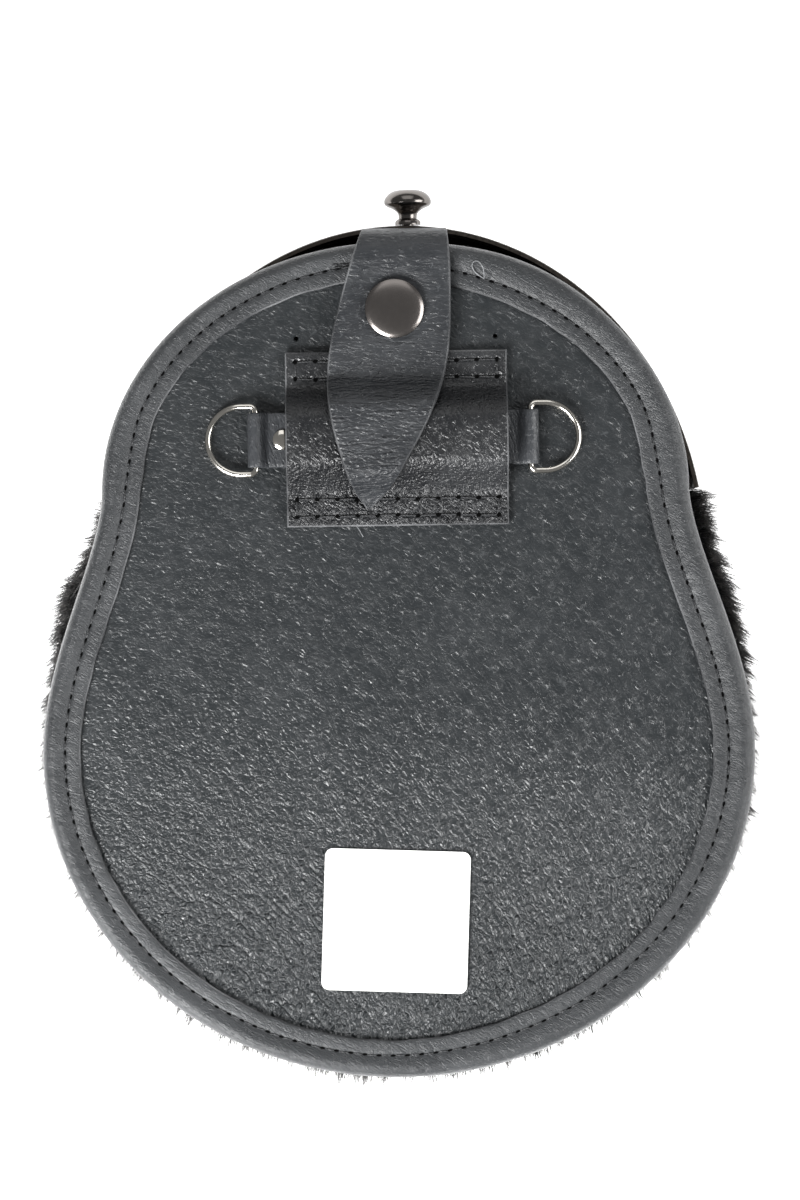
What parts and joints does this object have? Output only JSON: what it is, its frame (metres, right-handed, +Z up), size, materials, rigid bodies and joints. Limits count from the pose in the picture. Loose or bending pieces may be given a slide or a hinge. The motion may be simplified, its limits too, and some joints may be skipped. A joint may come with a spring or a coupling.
{
  "type": "sporran pouch",
  "caption": "Pear-shaped fur-fronted leather pouch lying on its front: metal cantle and knob, snap strap over the open mouth, belt loop and hinged D-rings on the grained back.",
  "frame": {"origin": "on the floor under the middle of the whole part, as it lies on its fur front", "axes": "+Z up, out of the leather back; +Y towards the knob and the mouth; +X to the right as the back is seen"},
  "size_m": [0.1826, 0.2288, 0.0551],
  "materials": {
    "grained_leather": "pebble-grained, satin",
    "smooth_leather": "smooth with fine creases, satin",
    "black_fur": "short glossy fur",
    "gunmetal": "dark polished plate, worn",
    "nickel": "nickel plated",
    "white_paper": "matt white"
  },
  "bodies": {
    "pouch": {"back_panel": "grained_leather", "edge_binding": "smooth_leather", "gusset": "smooth_leather", "fur_front": "black_fur", "cantle": "gunmetal", "cantle_knob": "gunmetal", "closing_strap": "smooth_leather", "snap_cap": "gunmetal", "snap_stud": "gunmetal", "belt_loop": "grained_leather", "d_ring_tab_left": "smooth_leather", "d_ring_tab_right": "smooth_leather", "tab_rivet_left": "nickel", "tab_rivet_right": "nickel", "label": "white_paper"},
    "d_ring_left": {"d_ring_left": "nickel"},
    "d_ring_right": {"d_ring_right": "nickel"}
  },
  "joints": [
    {"name": "d_ring_left_swing", "type": "hinge", "parent": "pouch", "child": "d_ring_left", "pos_m": [-0.0352, 0.0501, 0.0454], "axis": [0, 1, 0], "range_deg": [0, 125]},
    {"name": "d_ring_right_swing", "type": "hinge", "parent": "pouch", "child": "d_ring_right", "pos_m": [0.0345, 0.0501, 0.0454], "axis": [0, -1, 0], "range_deg": [0, 125]}
  ]
}
